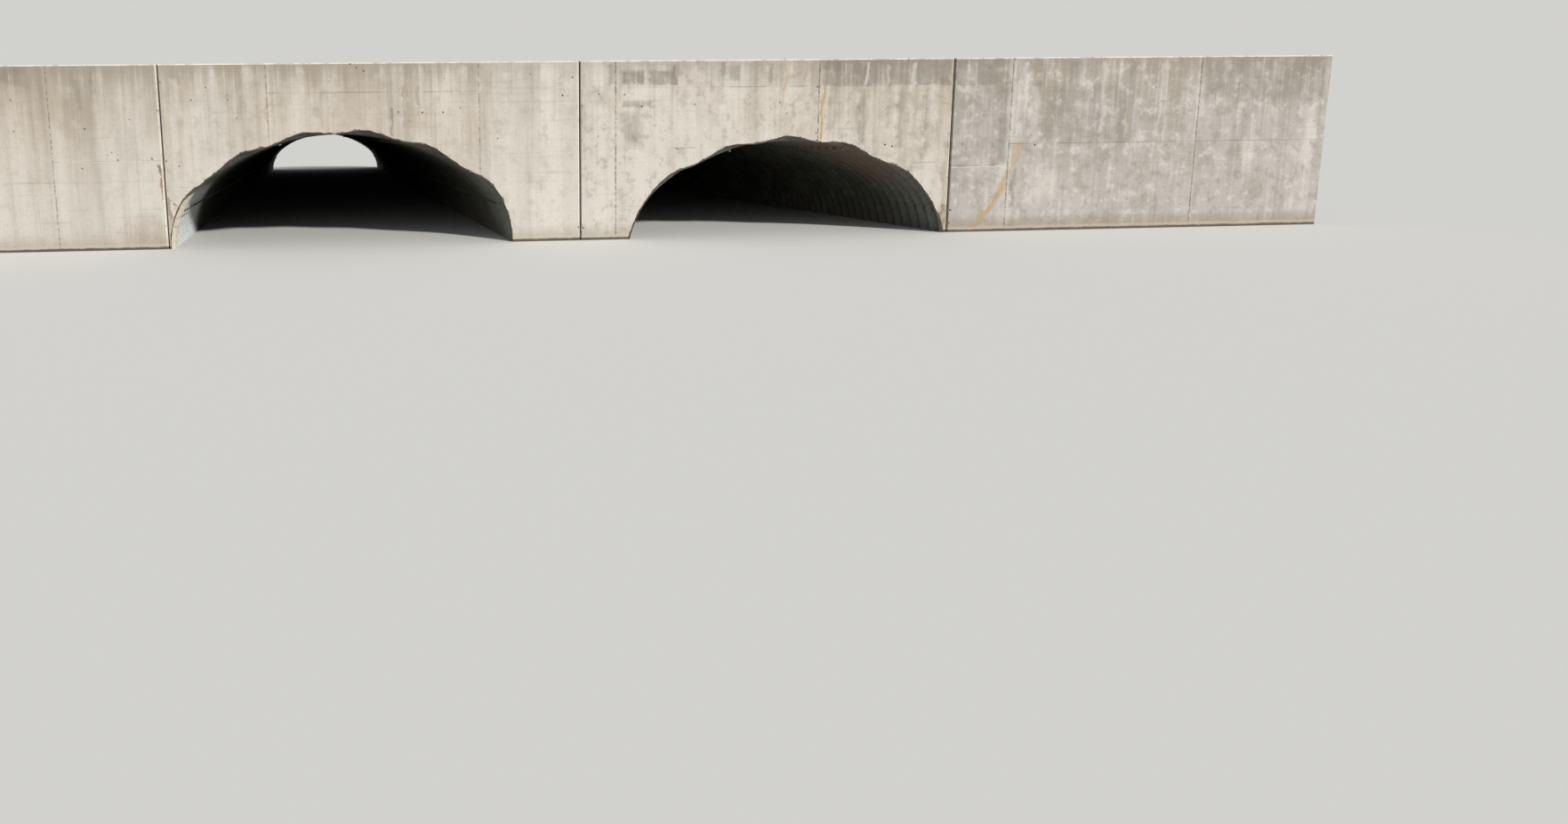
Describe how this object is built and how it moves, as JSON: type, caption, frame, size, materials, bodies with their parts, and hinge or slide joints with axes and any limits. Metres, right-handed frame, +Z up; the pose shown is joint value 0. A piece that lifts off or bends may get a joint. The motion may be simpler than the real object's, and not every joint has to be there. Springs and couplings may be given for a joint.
{
  "type": "culvert headwall",
  "caption": "Jointed concrete headwall of a culvert, with skewed, low-arched barrels of bolted corrugated steel plate.",
  "frame": {"origin": "under the middle joint, at the waterline, half-way through the wall's thickness", "axes": "+X along the wall to the right as seen from the water, +Y back into the bank, +Z up"},
  "size_m": [19.14, 21.2805, 2.12],
  "materials": {
    "concrete": "board-marked cast concrete, rain-streaked",
    "joint_filler": "weathered black filler board",
    "galvanised_plate": "dull weathered galvanising"
  },
  "bodies": {
    "root": {"wall_end_left": "concrete", "wall_left": "concrete", "wall_right": "concrete", "wall_end_right": "concrete", "joint_left": "joint_filler", "joint_middle": "joint_filler", "joint_right": "joint_filler", "left_barrel_crown_1": "galvanised_plate", "left_barrel_crown_2": "galvanised_plate", "left_barrel_crown_3": "galvanised_plate", "left_barrel_crown_4": "galvanised_plate", "left_barrel_crown_5": "galvanised_plate", "left_barrel_crown_6": "galvanised_plate", "right_barrel_crown_1": "galvanised_plate", "right_barrel_crown_2": "galvanised_plate", "right_barrel_crown_3": "galvanised_plate", "right_barrel_crown_4": "galvanised_plate", "right_barrel_crown_5": "galvanised_plate", "right_barrel_crown_6": "galvanised_plate", "left_barrel_left_side_1": "galvanised_plate", "left_barrel_right_side_1": "galvanised_plate", "left_barrel_left_side_2": "galvanised_plate", "left_barrel_right_side_2": "galvanised_plate", "left_barrel_left_side_3": "galvanised_plate", "left_barrel_right_side_3": "galvanised_plate", "left_barrel_left_side_4": "galvanised_plate", "left_barrel_right_side_4": "galvanised_plate", "left_barrel_left_side_5": "galvanised_plate", "left_barrel_right_side_5": "galvanised_plate", "left_barrel_left_side_6": "galvanised_plate", "left_barrel_right_side_6": "galvanised_plate", "right_barrel_left_side_1": "galvanised_plate", "right_barrel_right_side_1": "galvanised_plate", "right_barrel_left_side_2": "galvanised_plate", "right_barrel_right_side_2": "galvanised_plate", "right_barrel_left_side_3": "galvanised_plate", "right_barrel_right_side_3": "galvanised_plate", "right_barrel_left_side_4": "galvanised_plate", "right_barrel_right_side_4": "galvanised_plate", "right_barrel_left_side_5": "galvanised_plate", "right_barrel_right_side_5": "galvanised_plate", "right_barrel_left_side_6": "galvanised_plate", "right_barrel_right_side_6": "galvanised_plate"}
  },
  "joints": []
}
